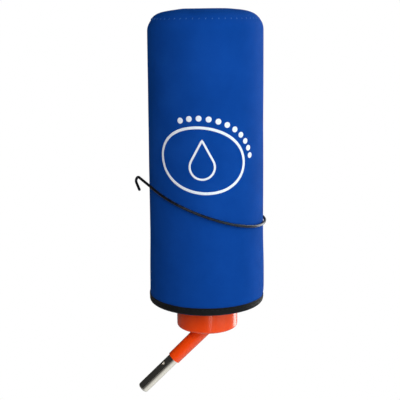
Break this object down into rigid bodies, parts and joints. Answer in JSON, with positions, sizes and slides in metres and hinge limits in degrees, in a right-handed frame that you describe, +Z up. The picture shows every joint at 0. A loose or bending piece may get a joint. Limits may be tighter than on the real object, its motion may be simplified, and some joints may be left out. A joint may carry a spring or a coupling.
{
  "type": "rabbit water bottle",
  "caption": "Gravity water bottle for caged rabbits: insulated bottle hung mouth down in a wire clip, with a screw cap, angled spout and ball-valve drinking tube.",
  "frame": {"origin": "on the bottle axis, at the middle of the cover's flat top, which is the base of the upturned bottle", "axes": "+Z up along the bottle axis while the bottle hangs mouth down, -X towards the side that the drinking tube points to, +Y towards the cover's back seam"},
  "size_m": [0.0892, 0.0864, 0.2661],
  "materials": {
    "coated_wire": "glossy black coating on spring wire",
    "cover_fabric": "royal blue jersey bonded to foam",
    "seam_thread": "light blue sewing thread",
    "binding_tape": "black woven tape",
    "hem_thread": "black sewing thread",
    "white_ink": "matt white screen-print ink",
    "bottle_plastic": "milky translucent blown polyethylene",
    "cap_plastic": "glossy moulded orange-red polypropylene",
    "washer_rubber": "soft black rubber",
    "tube_steel": "drawn stainless steel",
    "ball_steel": "polished stainless steel"
  },
  "bodies": {
    "clip": {"hanging_wire": "coated_wire"},
    "cover": {"cover_sleeve": "cover_fabric", "cover_top": "cover_fabric", "top_seam_thread": "seam_thread", "side_seam_thread": "seam_thread", "hem_binding": "binding_tape", "hem_thread": "hem_thread", "print_oval": "white_ink", "print_drop": "white_ink", "print_dots": "white_ink"},
    "bottle": {"bottle": "bottle_plastic"},
    "washer": {"cap_washer": "washer_rubber"},
    "cap": {"screw_cap": "cap_plastic", "drinking_tube": "tube_steel"},
    "front_ball": {"front_ball": "ball_steel"},
    "rear_ball": {"rear_ball": "ball_steel"}
  },
  "joints": [
    {"name": "cover_turn", "type": "hinge", "parent": "clip", "child": "cover", "pos_m": [0, 0, 0], "axis": [0, 0, 1], "continuous": true},
    {"name": "bottle_pull", "type": "slide", "parent": "cover", "child": "bottle", "axis": [0, 0, -1], "range_m": [0, 0.2]},
    {"name": "cap_rise", "type": "slide", "parent": "bottle", "child": "washer", "axis": [0, 0, -1], "range_m": [0, 0.009]},
    {"name": "cap_turn", "type": "hinge", "parent": "washer", "child": "cap", "pos_m": [0, 0, 0], "axis": [0, 0, -1], "range_deg": [0, 810]},
    {"name": "front_ball_lift", "type": "slide", "parent": "cap", "child": "front_ball", "axis": [0.7071, 0, 0.7071], "range_m": [0, 0.013]},
    {"name": "rear_ball_lift", "type": "slide", "parent": "cap", "child": "rear_ball", "axis": [0.7071, 0, 0.7071], "range_m": [0, 0.013]}
  ],
  "couplings": [
    {"joint": "cap_rise", "follows": "cap_turn", "m_per_rad": 0.00063662},
    {"joint": "rear_ball_lift", "follows": "front_ball_lift", "ratio": 1}
  ]
}
